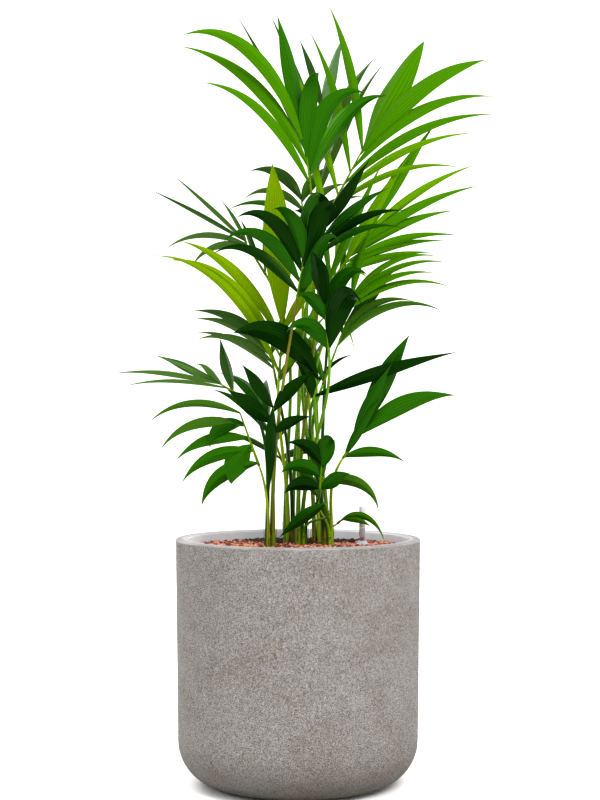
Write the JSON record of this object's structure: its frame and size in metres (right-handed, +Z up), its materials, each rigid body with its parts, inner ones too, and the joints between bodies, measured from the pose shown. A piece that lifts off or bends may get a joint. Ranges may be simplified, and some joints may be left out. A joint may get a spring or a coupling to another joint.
{
  "type": "potted kentia palm",
  "caption": "Kentia palm in a round planter with a soft bottom edge: a clump of young palms with tall leaf stalks and arching fronds, on clay granules with a water level gauge.",
  "frame": {"origin": "centre of the planter's flat underside", "axes": "+Z up the plant, +Y to its back, +X to the right seen from the front"},
  "size_m": [0.669, 0.5951, 1.4045],
  "materials": {
    "planter": "matt mineral skin with a fine leathery relief, smooth lip and inside",
    "granules": "dry fired clay, rough",
    "root_ball": "dark crumbly substrate",
    "gauge": "milky clear, smooth",
    "stem": "smooth leaf sheaths with brown fibre edges",
    "stalk": "smooth, satin green",
    "frond": "pleated leaf, satin above and paler below"
  },
  "bodies": {
    "root": {"planter": "planter", "clay_granules": "granules", "root_ball": "root_ball", "gauge_tube": "gauge", "gauge_foot": "gauge", "stem_left": "stem", "stem_back_left": "stem", "stem_middle": "stem", "stem_back_right": "stem", "stem_right": "stem", "stalk_front_middle": "stalk", "stalk_left_middle": "stalk", "stalk_left_low": "stalk", "stalk_left_inner": "stalk", "stalk_back_upper": "stalk", "stalk_back_left_low": "stalk", "stalk_back_left_high": "stalk", "stalk_bright_left": "stalk", "stalk_left_high": "stalk", "stalk_foot_front": "stalk", "stalk_front_low": "stalk", "stalk_crown_left": "stalk", "stalk_centre_right": "stalk", "stalk_foot_fallen": "stalk", "stalk_back_right": "stalk", "stalk_crown_back": "stalk", "stalk_back_low": "stalk", "stalk_right_bright": "stalk", "stalk_crown_right": "stalk", "stalk_right_broad": "stalk", "stalk_right_middle": "stalk", "stalk_right_low": "stalk", "stalk_right_flat": "stalk", "stalk_foot_right": "stalk", "stalk_seedling": "stalk", "frond_front_middle": "frond", "frond_left_middle": "frond", "frond_left_low": "frond", "frond_left_inner": "frond", "frond_back_upper": "frond", "frond_back_left_low": "frond", "frond_back_left_high": "frond", "frond_bright_left": "frond", "frond_left_high": "frond", "frond_foot_front": "frond", "frond_front_low": "frond", "frond_crown_left": "frond", "frond_centre_right": "frond", "frond_foot_fallen": "frond", "frond_back_right": "frond", "frond_crown_back": "frond", "frond_back_low": "frond", "frond_right_bright": "frond", "frond_crown_right": "frond", "frond_right_broad": "frond", "frond_right_middle": "frond", "frond_right_low": "frond", "frond_right_flat": "frond", "frond_foot_right": "frond", "frond_seedling": "frond"}
  },
  "joints": []
}
